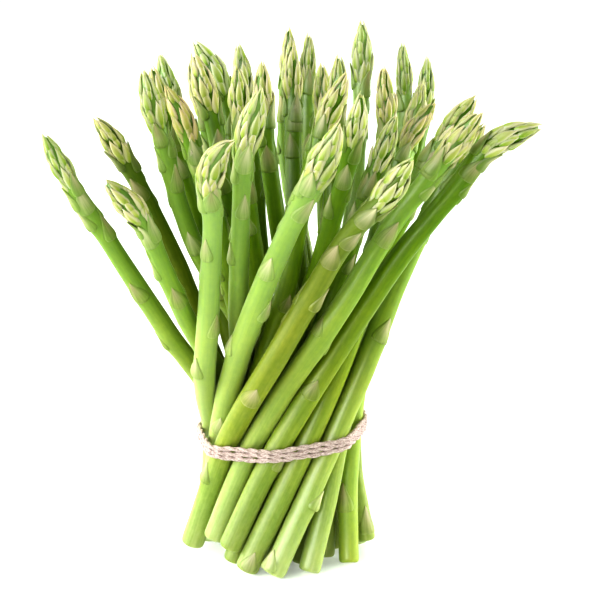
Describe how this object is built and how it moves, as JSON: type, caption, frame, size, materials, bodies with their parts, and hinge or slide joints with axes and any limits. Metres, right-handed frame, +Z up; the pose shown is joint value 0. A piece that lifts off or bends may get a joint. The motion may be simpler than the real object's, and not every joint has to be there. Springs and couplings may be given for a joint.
{
  "type": "asparagus bundle",
  "caption": "Bundle of fresh green asparagus that stands on its cut ends, fanned out in a twist above the turns of jute twine that hold it together.",
  "frame": {"origin": "on the ground, under the middle of the bundle's overall box", "axes": "+Z up from the cut ends to the tips; the front of the bundle faces -Y, with the knot of the twine at the back, and +X is on the right of someone who looks at the front"},
  "size_m": [0.191, 0.1618, 0.2139],
  "materials": {
    "spear": "waxy green skin, pale at the foot, with fawn scales",
    "ripe_spear": "yellower green skin",
    "twine": "natural jute, twisted from two strands"
  },
  "bodies": {
    "root": {"spear_01": "spear", "spear_02": "spear", "spear_03": "ripe_spear", "spear_04": "spear", "spear_05": "spear", "spear_06": "spear", "spear_07": "spear", "spear_08": "spear", "spear_09": "ripe_spear", "spear_10": "spear", "spear_11": "spear", "spear_12": "spear", "spear_13": "spear", "spear_14": "spear", "spear_15": "spear", "spear_16": "spear", "spear_17": "spear", "spear_18": "spear", "spear_19": "spear", "spear_20": "spear", "spear_21": "spear", "spear_22": "spear", "spear_23": "spear", "spear_24": "spear", "spear_25": "spear", "spear_26": "spear", "spear_27": "spear", "spear_28": "spear", "spear_29": "spear", "spear_30": "spear", "spear_31": "spear", "spear_32": "spear", "spear_33": "spear", "spear_34": "spear", "spear_35": "spear", "twine": "twine"}
  },
  "joints": []
}
